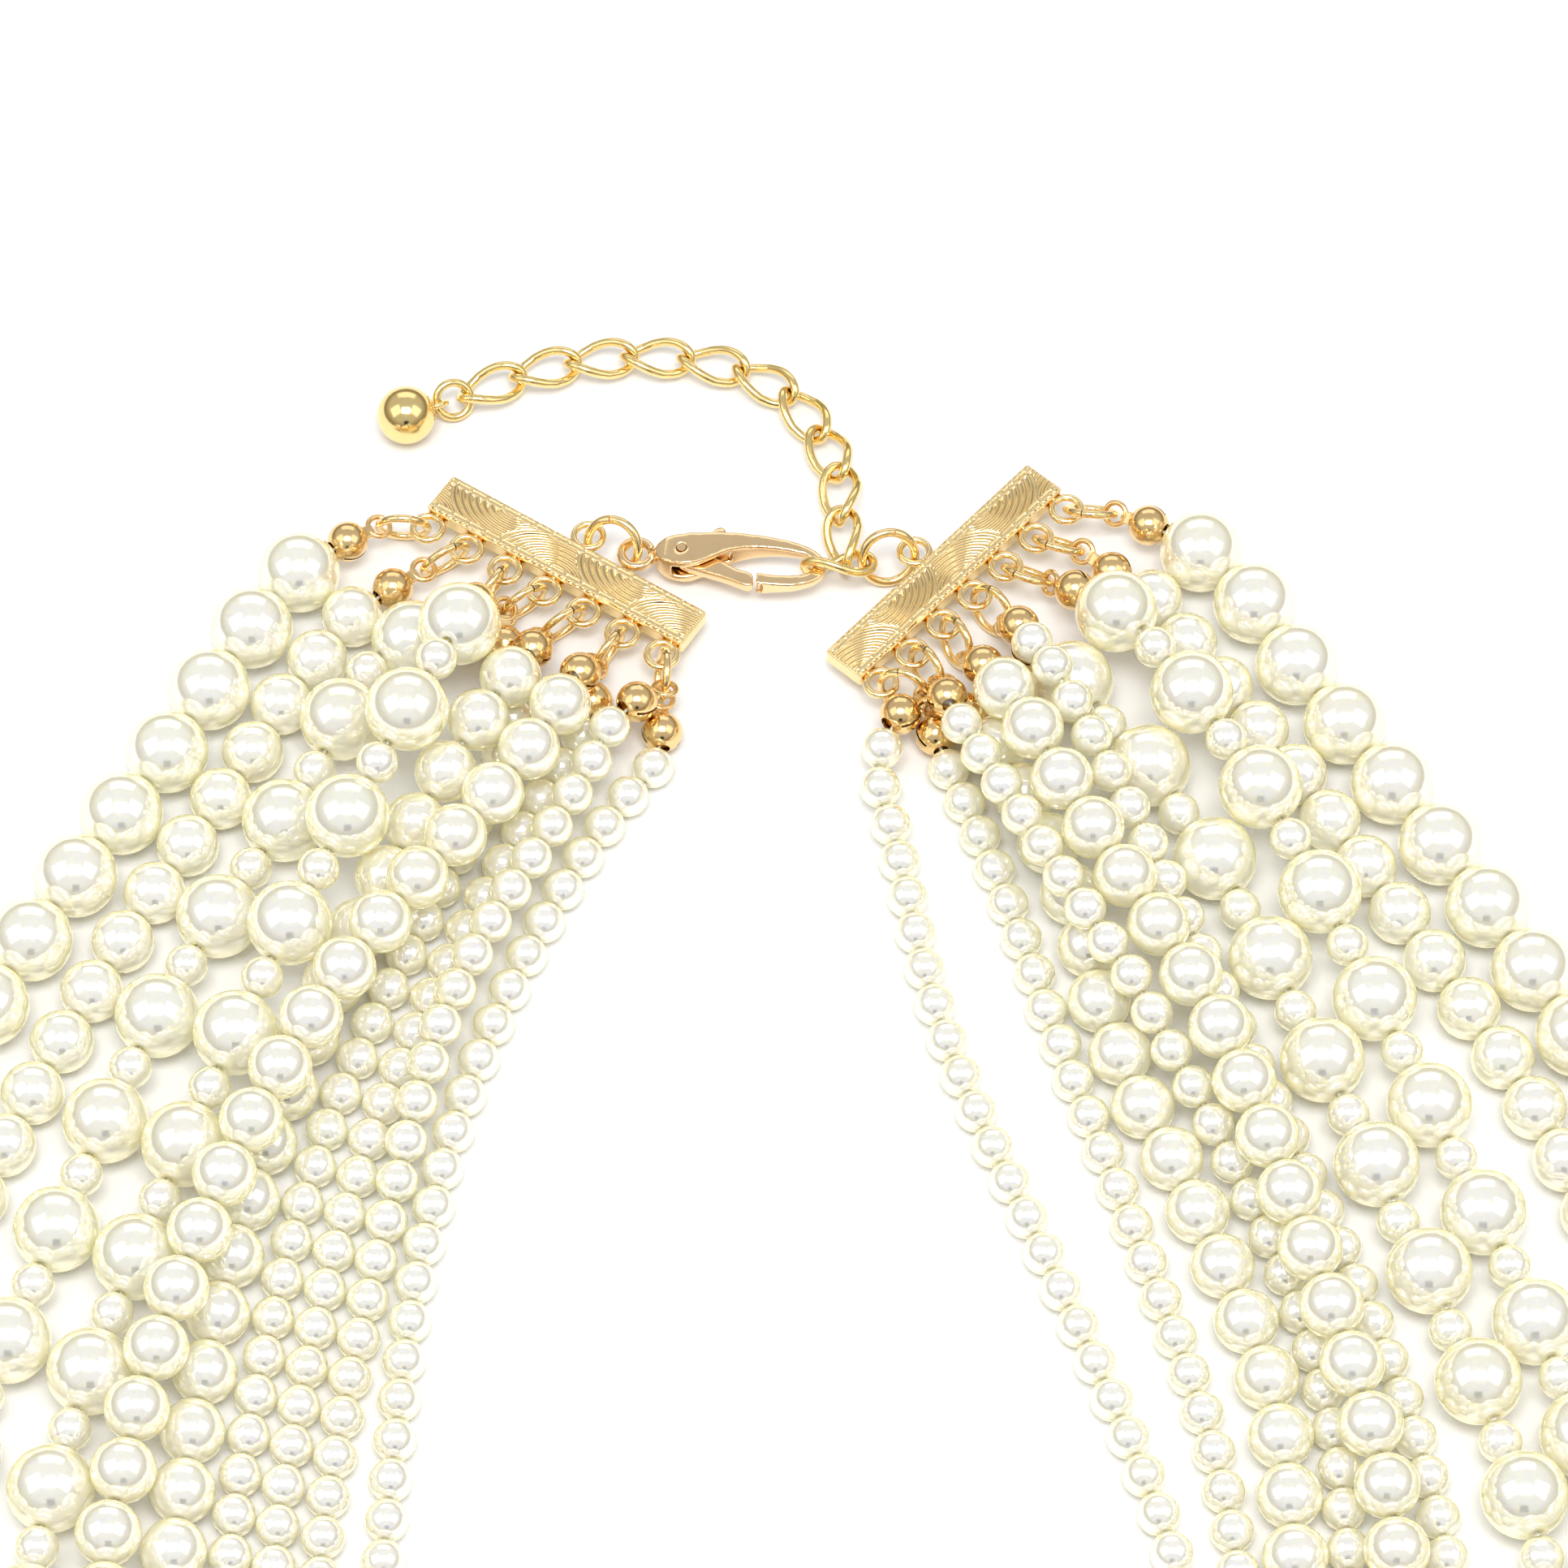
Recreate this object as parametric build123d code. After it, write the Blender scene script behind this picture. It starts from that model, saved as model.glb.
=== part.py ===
from build123d import *
import math
import os

import numpy as np

os.makedirs("parts", exist_ok=True)

# Frame: millimetres, +Z up, the necklace lies on the plane z = 0.
# The origin is on that plane, half way between the two end bars.
# +X runs from the clasp bar to the chain bar, +Y points away from the bib of pearls.

# ---------------------------------------------------------------- driving dimensions
BEAD_LARGE = 8.0
BEAD_MEDIUM = 6.0
BEAD_SMALL = 4.0
BORE_D = {BEAD_LARGE: 1.6, BEAD_MEDIUM: 1.3, BEAD_SMALL: 1.1}
THREAD_D = 0.30
BEAD_GAP = 0.05
CONTACT_GAP = 0.10
BEND_LARGE = 16.0
BEND_SMALL = 24.0
PULL = 0.12
DROP = 0.02

LINE_Z = 2.8
BAR_LENGTH = 30.0
BAR_WIDTH = 4.6
BAR_THICK = 1.5
BAR_CORNER_R = 0.4
BAR_EDGE_R = 0.2
STEM_R = 0.4
STEM_LENGTH = 0.6
LOOP_PITCH = 4.6
LOOP_REACH = 3.9
LOOP_R = 1.45
LOOP_WIRE_R = 0.35

RING_R = 2.4
RING_WIRE_R = 0.4
CUP_R = 2.0
CUP_WALL = 0.22
CUP_REACH = 3.7
CUP_HOLE_D = 1.5
EYE_R = 1.1
EYE_WIRE_R = 0.28
SEAM_GAP = 0.25
SEAM_LENGTH = 3.0
SEAM_SHIFT = 0.15
TONGUE = (1.2, 1.3, 0.5)
TONGUE_EDGE_R = 0.15
KNOT_R = 0.8
RING_SPLIT = 3.0

END_RING_R = 2.65
END_RING_WIRE_R = 0.45
HANG_REACH = 3.9
LEFT_END_RING = (-24, 34)

# Clasp, seen from above: x from the tail eye to the nose, y away from the bib
CLASP_TAIL = (-11.62, 1.75)
CLASP_HEADING = -5.5
CLASP_EYE_R = 1.5
CLASP_EYE_WIRE_R = 0.5
CLASP_PIVOT = (4.4, 0.1)
CLASP_OUTER = [(1.7, 0.0), (2.3, 1.05), (4.4, 1.85), (7.2, 2.35), (10.2, 2.75), (13.3, 2.8),
               (16.0, 2.4), (17.9, 1.4), (18.65, 0.0), (18.2, -1.3), (16.9, -2.25), (14.6, -2.85), (11.9, -3.0)]
CLASP_INNER = [(11.9, -1.6), (13.8, -1.6), (15.6, -1.35), (16.9, -0.85), (17.35, 0.0), (17.0, 0.85),
               (15.7, 1.3), (13.4, 1.4), (11.0, 1.1), (8.8, 0.3)]
CLASP_UNDER = [(8.8, 0.3), (7.2, -0.8), (5.4, -1.7), (3.6, -1.75), (2.2, -1.05), (1.7, 0.0)]
CLASP_DEPTH = [(1.2, 1.0), (3.0, 1.55), (5.0, 1.75), (8.0, 1.55), (11.0, 1.1), (13.5, 0.8), (16.0, 0.6), (19.2, 0.5)]
CLASP_SLOT = 1.5
SLOT_OUTLINE = [(3.2, -0.4), (4.2, -3.2), (12.6, -4.2), (12.6, -0.9), (9.2, 0.6), (10.2, 4.4), (5.6, 4.4),
                (4.9, 2.0), (3.3, 1.3)]
LEVER_THICK = 1.2
LEVER_OUTLINE = [(3.5, 0.2), (3.9, -0.75), (5.6, -1.55), (8.0, -2.15), (10.0, -2.75), (11.6, -2.95),
                 (11.72, -2.3), (11.55, -1.65), (10.2, -1.2), (8.6, -0.4), (7.2, 0.5), (7.6, 1.6), (8.35, 2.6),
                 (8.45, 3.3), (7.9, 3.65), (7.35, 3.3), (6.4, 2.0), (5.0, 1.1), (4.1, 0.95)]
PIN_R = 0.45
PIN_RUN = 0.05
PIN_HOLD = 0.02
PIN_LENGTH = 3.3
CLASP_NECK = (1.75, 0, 0)
NECK_R = 0.7
NECK_LENGTH = 0.9
KNOB = (7.9, 3.05, 0)
KNOB_R = 0.72
BLANK = 8.0
SPRING_R = 0.78
SPRING_WIRE_R = 0.09
SPRING_ROOM = 0.08
SPRING_SWEEP = 300.0

# Chain: oval links whose plane turns a quarter from end to end
LINK_A = 3.4
LINK_B = 1.85
LINK_WIRE_R = 0.45
# Last seven tail links: heading, slope, roll at the near end, pitch
TAIL_REST = [(122, 0, 135, 5.7), (148, 0, 135, 5.7), (166, 0, 135, 5.7), (177, 0, 135, 5.7),
             (188, 0, 135, 5.7), (197, 0, 135, 5.7), (206, 0, 135, 5.7)]
# Rough lie of the crowded spot beside the clasp nose, settled below until all the wires are clear
HOOK_ROUGH = (8.2, 0.2, 0.0)
START_ROUGH = (8.6, 1.0, 2.0)
TAIL_ROUGH = [(95, 0, 90, 5.4), (92, 0, 112, 5.6), (98, 0, 130, 5.7)]
RING_ROUGH = (196.0, -34.0)
HOOK_LOOP = (13.0, -0.1, 5.0, 2.1)
NUDGE = (0.15, 0.1, 2, 0.3, 0.2, 0.2, 4, 4, 0, 0.12, 4, 3, 8, 0.1, 4, 2, 5, 0.08, 2, 4)
CHAIN_PLACES = [(8.3, -0.1), (8.6, 3.6), (7.8, 9.2), (7.8, 14.8)]
CHAIN_Z = 1.8
CHAIN_SEED = 3
CHAIN_ROUNDS = 9000
HOOK_GAP = 0.14
NEXT_GAP = 0.25
LINK_GAP = 0.1
FLOOR_GAP = 0.06
TAIL_RING_R = 1.75
TAIL_RING_WIRE_R = 0.42
TAIL_RING_HEADING = 200
TAIL_RING_OFFSET = 1.3
TAIL_RING_ROLL = -45.0
BALL_R = 2.9
BALL_EYE_R = 0.95
BALL_EYE_WIRE_R = 0.3
BALL_HEADING = 215

# Bars: centre x, centre y, heading of the row of loops (first loop to seventh), side of the row
LEFT_BAR = (-18.5, 0.6, -33.0, 1)
RIGHT_BAR = (18.5, -0.6, -131.8, -1)

# Strand rings: loop number -> (heading away from the bar, lean from upright)
LEFT_RINGS = {1: (178, 14), 2: (211, 14), 3: (238, 14), 4: (214, 12),
              5: (215, 12), 6: (236, 12), 7: (272, 12)}
RIGHT_RINGS = {1: (-6, -42), 2: (-20, -42), 3: (-24, -42), 4: (-46, 14),
               5: (-60, 12), 6: (-56, 12), 7: (-22, 12)}

# Strands from the outside of the bib to the inside.
# beads: repeating diameters.  left / right: (loop number, place on its ring, guide points).
# Guide points are x, y, z.  sweep: (left half width, right half width, lowest y) of the round bottom.
SWEEP_Y = -112.0
SWEEP_X = 2.5
STRANDS = {
    "a": {"beads": (BEAD_LARGE,), "left": (1, 0), "right": (1, 0), "sweep": (96, 96, -208),
          "west": [(-43, -4, 4), (-52, -16, 4), (-60, -28.5, 4), (-68, -42, 4), (-77.5, -62, 4), (-87, -87, 4)],
          "east": [(92, -87, 4), (83, -65, 4), (76, -52, 4), (66, -33, 4), (54, -15.5, 4), (41, 1.5, 4)]},
    "b": {"beads": (BEAD_MEDIUM,), "left": (2, 0), "right": (2, 0), "sweep": (87, 86, -200),
          "west": [(-38, -8.5, 3), (-45, -18.5, 3), (-51.5, -28.5, 3), (-60, -44, 3), (-67.5, -60, 3),
                   (-77, -85, 3)],
          "east": [(82, -86, 3), (74, -63.5, 3), (66, -48, 3), (53, -27.5, 3), (44, -13, 3), (38, -5, 3)]},
    "c": {"beads": (BEAD_LARGE, BEAD_SMALL), "left": (3, 20), "right": (3, 0), "sweep": (69.5, 77, -192.5),
          "west": [(-30, -14.5, 6.5), (-35.5, -25, 7.5), (-41, -35.5, 8), (-50.5, -56.5, 8),
                   (-57.5, -78.5, 7), (-63, -97, 6)],
          "east": [(76, -99, 4), (70, -80, 5), (61.5, -59.5, 6), (47, -28, 6.5), (41.5, -18.5, 6.5),
                   (35, -10, 6)]},
    "d": {"beads": (BEAD_LARGE, BEAD_SMALL), "left": (4, -22), "right": (4, -22), "sweep": (78, 68.5, -184),
          "west": [(-33, -12, 4), (-39.5, -20, 4), (-45, -29.5, 4), (-55.5, -50, 4), (-62, -71, 4),
                   (-70, -93, 4)],
          "east": [(67, -95, 4), (59.5, -75, 4), (52, -54, 4), (43, -35, 4), (37, -25, 4), (32, -15.5, 4)]},
    "e": {"beads": (BEAD_SMALL,), "left": (4, 22), "right": (4, 22), "sweep": (51, 62, -177.5),
          "west": [(-24, -20, 2), (-25.5, -28, 2), (-29, -37.5, 2), (-34.5, -47.5, 2), (-42, -69, 2),
                   (-46.5, -98, 2)],
          "east": [(58, -85, 2), (49, -60, 3), (43, -45, 3), (36.8, -30, 4), (31.5, -18, 5), (28.5, -12, 5)]},
    "f": {"beads": (BEAD_MEDIUM,), "left": (5, 0), "right": (5, 14), "sweep": (56, 56.8, -172),
          "west": [(-23.7, -14.2, 3), (-29, -23, 3), (-35, -34, 3), (-41, -49, 3), (-46.5, -72, 3),
                   (-50, -97, 3)],
          "east": [(56, -97, 5), (48, -70, 7), (42, -52, 7.5), (32, -30.5, 8), (26, -20, 8), (22.5, -15, 7)]},
    "g": {"beads": (BEAD_MEDIUM,), "left": (6, 20), "right": (6, -20), "sweep": (62, 46.3, -161),
          "west": [(-20, -17.5, 5.5), (-24.5, -25.5, 7), (-30.5, -34.5, 8), (-39.5, -49, 8), (-48.5, -71, 8),
                   (-56, -98, 6)],
          "east": [(49, -93, 3), (43, -78.5, 3), (38, -62, 3), (31, -38, 3), (25.5, -25, 3), (22, -19, 3)]},
    "h": {"beads": (BEAD_SMALL,), "left": (6, -20), "right": (6, 22), "sweep": (46.5, 51.5, -166.5),
          "west": [(-17, -18, 2), (-20.5, -25, 2), (-24, -33, 2), (-30, -47, 2), (-37, -66, 2),
                   (-42.5, -98, 2)],
          "east": [(53, -90, 4), (50, -77.5, 5), (42.5, -62.5, 6), (31.5, -42, 6), (25, -29.5, 5),
                   (22.4, -23.5, 5)]},
    "i": {"beads": (BEAD_SMALL,), "left": (7, 24), "right": (7, -20), "sweep": (41.5, 41.5, -155),
          "west": [(-12.5, -20.5, 3.5), (-16.5, -26.5, 4), (-22.5, -36.5, 5), (-30, -51, 5), (-35.5, -75, 3),
                   (-38, -98, 2)],
          "east": [(41, -93, 2), (35.5, -75.5, 2), (29.5, -56, 2), (22.5, -33, 2), (20, -24, 2),
                   (18.5, -20, 2)]},
    "j": {"beads": (BEAD_SMALL,), "left": (7, -14), "right": (7, 16), "sweep": (35.5, 36, -150),
          "west": [(-10.5, -22, 2), (-15, -29.5, 2), (-20, -40, 2), (-26, -55.5, 2), (-30.5, -75, 2),
                   (-32.5, -98, 2)],
          "east": [(35, -98, 2), (26.5, -75.5, 2), (18, -54, 2), (14.5, -38, 2), (13, -28, 2), (13, -21, 2)]},
}


# ---------------------------------------------------------------- small vector helpers
def unit(v):
    return v / np.linalg.norm(v)


def heading(degrees):
    a = math.radians(degrees)
    return np.array([math.cos(a), math.sin(a), 0.0])


UP = np.array([0.0, 0.0, 1.0])


def bar_axes(bar):
    """Centre of a bar, direction along its loops, direction towards its loops."""
    x, y, angle, side = bar
    along = heading(angle)
    out = np.array([along[1], -along[0], 0.0]) * side
    return np.array([x, y, LINE_Z]), along, out


def ring_frame(bar, number, lean_table):
    """Loop hole centre, ring centre, direction away from the bar and steep direction in the ring plane."""
    centre, along, out = bar_axes(bar)
    hole = centre + along * (number - 4) * LOOP_PITCH + out * LOOP_REACH
    angle, lean = lean_table[number]
    away = heading(angle)
    lean = math.radians(lean)
    steep = UP * math.cos(lean) + np.cross(UP, away) * math.sin(lean)
    return hole, hole + away * RING_R, away, steep


def eye_on_ring(bar, number, lean_table, place):
    """Point on the ring wire where a cup eye hangs, and the wire direction there."""
    _, centre, away, steep = ring_frame(bar, number, lean_table)
    p = math.radians(place)
    point = centre + RING_R * (away * math.cos(p) + steep * math.sin(p))
    return point, steep * math.cos(p) - away * math.sin(p)


# ---------------------------------------------------------------- laying the strands down
def smooth_path(points, step=0.5):
    """Catmull-Rom curve through the guide points, sampled finely."""
    p = np.array([2 * points[0] - points[1]] + list(points) + [2 * points[-1] - points[-2]])
    out = []
    for k in range(1, len(p) - 2):
        count = max(2, int(np.linalg.norm(p[k + 1] - p[k]) / step))
        for s in np.linspace(0, 1, count, endpoint=False):
            out.append(0.5 * (2 * p[k] + (p[k + 1] - p[k - 1]) * s
                              + (2 * p[k - 1] - 5 * p[k] + 4 * p[k + 1] - p[k + 2]) * s ** 2
                              + (3 * p[k] - p[k - 1] - 3 * p[k + 1] + p[k + 2]) * s ** 3))
    out.append(p[-2])
    return np.array(out)


def guide_path(strand):
    """Whole run of one strand from the left ring eye to the right ring eye."""
    left_eye, _ = eye_on_ring(LEFT_BAR, strand["left"][0], LEFT_RINGS, strand["left"][1])
    right_eye, _ = eye_on_ring(RIGHT_BAR, strand["right"][0], RIGHT_RINGS, strand["right"][1])
    west, east, low = strand["sweep"]
    z_west = strand["west"][-1][2]
    z_east = strand["east"][0][2]
    points = [left_eye] + [np.array(p, float) for p in strand["west"]]
    for degrees in range(0, 181, 20):
        a = math.radians(degrees)
        half = west if degrees < 90 else east
        z = z_west + (z_east - z_west) * degrees / 180
        points.append(np.array([SWEEP_X - half * math.cos(a), SWEEP_Y + (low - SWEEP_Y) * math.sin(a), z]))
    points += [np.array(p, float) for p in strand["east"]] + [right_eye]
    return smooth_path(points)


def spread(path, spacing):
    """Points along the path at the given running distances, scaled to fill the path."""
    steps = np.linalg.norm(np.diff(path, axis=0), axis=1)
    run = np.concatenate([[0], np.cumsum(steps)])
    want = np.concatenate([[0], np.cumsum(spacing)])
    want = want * run[-1] / want[-1]
    return np.stack([np.interp(want, run, path[:, k]) for k in range(3)], axis=1)


def lay_out():
    """Settle every bead and cup: touching neighbours, nothing overlapping, all above the table."""
    radius, fixed, start, rest_pairs, strand_slices = [], [], [], [], {}
    for name, strand in STRANDS.items():
        path = guide_path(strand)
        length = np.linalg.norm(np.diff(path, axis=0), axis=1).sum()
        beads = strand["beads"]
        end_length = 2 * (CUP_REACH + CUP_R + 3 * BEAD_GAP)
        period = sum(beads) + BEAD_GAP * len(beads)
        count = int((length - end_length) / period) * len(beads)
        if len(beads) > 1:
            count += 1
        radii = [0.0, CUP_R] + [beads[k % len(beads)] / 2 for k in range(count)] + [CUP_R, 0.0]
        gaps = [CUP_REACH]
        for k in range(1, len(radii) - 2):
            gaps.append(radii[k] + radii[k + 1] + BEAD_GAP)
        gaps[1] += 2 * BEAD_GAP
        gaps[-1] += 2 * BEAD_GAP
        gaps.append(CUP_REACH)
        first = len(radius)
        places = spread(path, gaps)
        for k, r in enumerate(radii):
            radius.append(r)
            fixed.append(k in (0, len(radii) - 1))
            start.append(places[k])
        for k, gap in enumerate(gaps):
            rest_pairs.append((first + k, first + k + 1, gap))
        last = first + len(radii) - 1
        rest_pairs.append((first, first + 2, gaps[0] + gaps[1]))
        rest_pairs.append((last - 2, last, gaps[-1] + gaps[-2]))
        strand_slices[name] = (first, last + 1)
    for bar, table in ((LEFT_BAR, LEFT_RINGS), (RIGHT_BAR, RIGHT_RINGS)):
        for number in table:
            for place in range(0, 360, 18):
                radius.append(RING_WIRE_R)
                fixed.append(True)
                start.append(eye_on_ring(bar, number, table, place)[0])
    radius = np.array(radius)
    fixed = np.array(fixed)
    home = np.array(start)
    x = home.copy()
    free = (~fixed).astype(float)[:, None]
    a = np.array([p[0] for p in rest_pairs])
    b = np.array([p[1] for p in rest_pairs])
    rest = np.array([p[2] for p in rest_pairs])
    weight_a = free[a]
    weight_b = free[b]
    share = weight_a + weight_b
    total = len(radius)
    linked = set()
    gap_of = {}
    for p in rest_pairs:
        linked.add((p[0], p[1]))
        gap_of[(p[0], p[1])] = p[2]
    solid = radius > 0
    rows, cols = np.triu_indices(total, 1)
    keep = np.array([solid[r] and solid[c] and (r, c) not in linked for r, c in zip(rows, cols)])
    rows, cols = rows[keep], cols[keep]
    keep = ~(fixed[rows] & fixed[cols])
    rows, cols = rows[keep], cols[keep]
    reach = radius[rows] + radius[cols] + CONTACT_GAP
    inner_of = np.array([k for k in range(1, total - 1)
                         if solid[k - 1:k + 2].all() and not fixed[k - 1:k + 2].any()])
    side_a = np.array([gap_of[(k - 1, k)] for k in inner_of])
    side_b = np.array([gap_of[(k, k + 1)] for k in inner_of])
    bend = np.radians(np.where(radius[inner_of] > 2.5, BEND_LARGE, BEND_SMALL))
    bow_limit = side_a * side_b / (side_a + side_b) * bend
    fraction = (side_a / (side_a + side_b))[:, None]
    degree = np.zeros(total)
    np.add.at(degree, a, 1)
    np.add.at(degree, b, 1)
    rounds = 1500
    for step in range(rounds):
        settle = step / rounds
        pull = PULL * (1 - settle) if settle < 0.6 else 0.0
        x[:, :2] += free * pull * (home[:, :2] - x[:, :2])
        if settle < 0.6:
            x[:, 2:] -= free * DROP
            inner = np.zeros_like(x)
            inner[1:-1] = (x[:-2] + x[2:]) / 2 - x[1:-1]
            bead = solid & np.roll(solid, 1) & np.roll(solid, -1) & ~fixed
            x += free * bead[:, None] * 0.12 * inner
        for _ in range(4):
            d = x[a] - x[b]
            length = np.linalg.norm(d, axis=1, keepdims=True)
            move = d / length * (length - rest[:, None]) / np.maximum(share, 1)
            shift = np.zeros_like(x)
            np.add.at(shift, a, -move * weight_a)
            np.add.at(shift, b, move * weight_b)
            x += shift * 0.9 / np.maximum(degree, 1)[:, None] * 1.4
            chord = x[inner_of - 1] + (x[inner_of + 1] - x[inner_of - 1]) * fraction
            bow = x[inner_of] - chord
            size = np.linalg.norm(bow, axis=1)
            excess = bow * (np.maximum(size - bow_limit, 0) / np.maximum(size, 1e-9))[:, None]
            shift = np.zeros_like(x)
            np.add.at(shift, inner_of, -0.30 * excess)
            np.add.at(shift, inner_of + 1, 0.15 * excess)
            np.add.at(shift, inner_of - 1, 0.15 * excess)
            x += shift * free
        near = np.abs(x[rows, 0] - x[cols, 0]) < reach
        near &= np.abs(x[rows, 1] - x[cols, 1]) < reach
        i, j, need = rows[near], cols[near], reach[near]
        d = x[i] - x[j]
        length = np.linalg.norm(d, axis=1)
        hit = length < need
        i, j, d, length, need = i[hit], j[hit], d[hit], length[hit], need[hit]
        move = d / length[:, None] * ((need - length) / 2)[:, None] * 0.8
        shift = np.zeros_like(x)
        np.add.at(shift, i, move)
        np.add.at(shift, j, -move)
        x += shift * free
        x[:, 2] = np.where(solid, np.maximum(x[:, 2], radius), x[:, 2])
    return x, radius, strand_slices


# ---------------------------------------------------------------- settling the chain beside the clasp
def link_line(centre, axis, start_roll, end_roll):
    """Centre line of one oval link."""
    t = np.linspace(0, 2 * np.pi, 72, endpoint=False)
    x = LINK_A * np.cos(t)
    roll = np.radians(start_roll + (end_roll - start_roll) * (x + LINK_A) / (2 * LINK_A))
    wide = LINK_B * np.sin(t)
    side = unit(np.cross(UP, axis))
    lift = np.cross(axis, side)
    flat = x[:, None] * axis + (wide * np.cos(roll))[:, None] * side
    return centre + flat + (wide * np.sin(roll))[:, None] * lift


def end_ring_line(bar, ring):
    """Centre line of the ring that hangs on a bar's hanging loop."""
    centre, _, out = bar_axes(bar)
    away = heading(ring[0])
    lean = math.radians(ring[1])
    steep = UP * math.cos(lean) + np.cross(UP, away) * math.sin(lean)
    t = np.linspace(0, 2 * np.pi, 96, endpoint=False)[:, None]
    return centre - out * HANG_REACH + END_RING_R * (away * (1 + np.cos(t)) + steep * np.sin(t))


def on_clasp(points):
    """Points of the clasp's own frame placed on the necklace."""
    along = heading(CLASP_HEADING)
    tail = np.array([CLASP_TAIL[0], CLASP_TAIL[1], LINE_Z])
    return tail + points[:, :1] * along + points[:, 1:2] * np.cross(UP, along) + points[:, 2:] * UP


def clasp_skin():
    """Points over the walls of the clasp's hook."""
    layers = []
    for outline in (CLASP_OUTER, CLASP_INNER):
        line = smooth_path([np.array([x, y, 0.0]) for x, y in outline], 0.15)
        line = line[line[:, 0] > 10]
        half = np.interp(line[:, 0], [d[0] for d in CLASP_DEPTH], [d[1] for d in CLASP_DEPTH])
        for share in (-1, -0.5, 0, 0.5, 1):
            layers.append(np.column_stack([line[:, :2], half * share]))
    return on_clasp(np.vstack(layers))


def nearest(a, b):
    square = sum((a[:, k][:, None] - b[:, k][None]) ** 2 for k in range(3))
    return math.sqrt(square.min())


def linked(a, b):
    """Whether two closed lines pass through each other (Gauss linking number)."""
    step_a = np.roll(a, -1, axis=0) - a
    step_b = np.roll(b, -1, axis=0) - b
    apart = (a + step_a / 2)[:, None] - (b + step_b / 2)[None]
    turn = (apart * np.cross(step_a[:, None], step_b[None])).sum(axis=2)
    return abs((turn / np.linalg.norm(apart, axis=2) ** 3).sum()) / (4 * math.pi) > 0.8


def chain_lines(lie):
    """Lines of the hooked link and of the first four tail links, their centres and the next joint."""
    centres = [np.array([lie[0], lie[1], LINE_Z])]
    lines = [link_line(centres[0], heading(lie[2]), 90, 180)]
    spot = lie[3:6]
    for angle, slope, roll, pitch in list(lie[6:18].reshape(3, 4)) + TAIL_REST[:1]:
        rise = math.radians(slope)
        axis = heading(angle) * math.cos(rise) + UP * math.sin(rise)
        centres.append(spot + axis * pitch / 2)
        lines.append(link_line(centres[-1], axis, roll, roll + 90))
        spot = spot + axis * pitch
    return lines, centres, spot


def crowding(lie, skin):
    """Zero when every wire is clear, above the table and in its place."""
    lines, centres, spot = chain_lines(lie)
    ring = end_ring_line(RIGHT_BAR, lie[18:])
    both = LINK_WIRE_R + END_RING_WIRE_R
    room = [nearest(lines[0], ring) - both - HOOK_GAP, nearest(lines[1], ring) - both - NEXT_GAP,
            nearest(lines[0], skin) - LINK_WIRE_R - HOOK_GAP, nearest(lines[1], skin) - LINK_WIRE_R - NEXT_GAP,
            ring[:, 2].min() - END_RING_WIRE_R - FLOOR_GAP]
    room += [nearest(a, b) - 2 * LINK_WIRE_R - LINK_GAP for a, b in zip(lines, lines[1:])]
    room += [line[:, 2].min() - LINK_WIRE_R - FLOOR_GAP for line in lines]
    cost = 400 * sum(min(0, gap) ** 2 for gap in room)
    for centre, place in zip(centres, CHAIN_PLACES):
        cost += 0.01 * ((centre[:2] - np.array(place)) ** 2).sum()
    return cost + 0.3 * (spot[2] - CHAIN_Z) ** 2


def all_linked(lie):
    lines, _, _ = chain_lines(lie)
    x, y, half_length, half_width = HOOK_LOOP
    t = np.linspace(0, 2 * np.pi, 60, endpoint=False)
    loop = np.column_stack([x + half_length * np.cos(t), y + half_width * np.sin(t), 0 * t])
    pairs = list(zip(lines, lines[1:]))
    pairs += [(lines[0], end_ring_line(RIGHT_BAR, lie[18:])), (lines[0], on_clasp(loop))]
    return all(linked(a, b) for a, b in pairs)


def settle_chain():
    """Nudge the rough lie, keeping each nudge that helps and leaves everything linked."""
    chance = np.random.default_rng(CHAIN_SEED)
    skin = clasp_skin()
    lie = np.array([*HOOK_ROUGH, *START_ROUGH, *np.ravel(TAIL_ROUGH), *RING_ROUGH], float)
    best = crowding(lie, skin)
    size = 1.0
    for _ in range(CHAIN_ROUNDS):
        moved = chance.random(len(lie)) < 0.35
        trial = lie + np.array(NUDGE) * size * chance.normal(size=len(lie)) * moved
        cost = crowding(trial, skin)
        if cost < best and all_linked(trial):
            lie = trial
            best = cost
            size = min(1.2, size * 1.15)
        else:
            size = max(0.03, size * 0.995)
    return np.round(lie, 3)


LIE = settle_chain()
HOOK_LINK = (LIE[0], LIE[1], LINE_Z)
HOOK_HEADING = LIE[2]
TAIL_START = LIE[3:6]
TAIL = [tuple(row) for row in LIE[6:18].reshape(3, 4)] + TAIL_REST
RIGHT_END_RING = tuple(LIE[18:])


# ---------------------------------------------------------------- solids
def place_at(point, z_dir, x_dir=None):
    """Location that puts a template's origin at a point with its Z along z_dir."""
    if x_dir is None:
        return Plane(origin=tuple(point), z_dir=tuple(z_dir)).location
    return Plane(origin=tuple(point), x_dir=tuple(x_dir), z_dir=tuple(z_dir)).location


def save(name, pieces):
    """One STEP file per node."""
    shape = pieces[0] if len(pieces) == 1 else Compound(children=list(pieces))
    export_step(shape, "parts/" + name + ".step")


def bead_template(diameter):
    return Sphere(diameter / 2) - Cylinder(BORE_D[diameter] / 2, diameter + 1)


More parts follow.
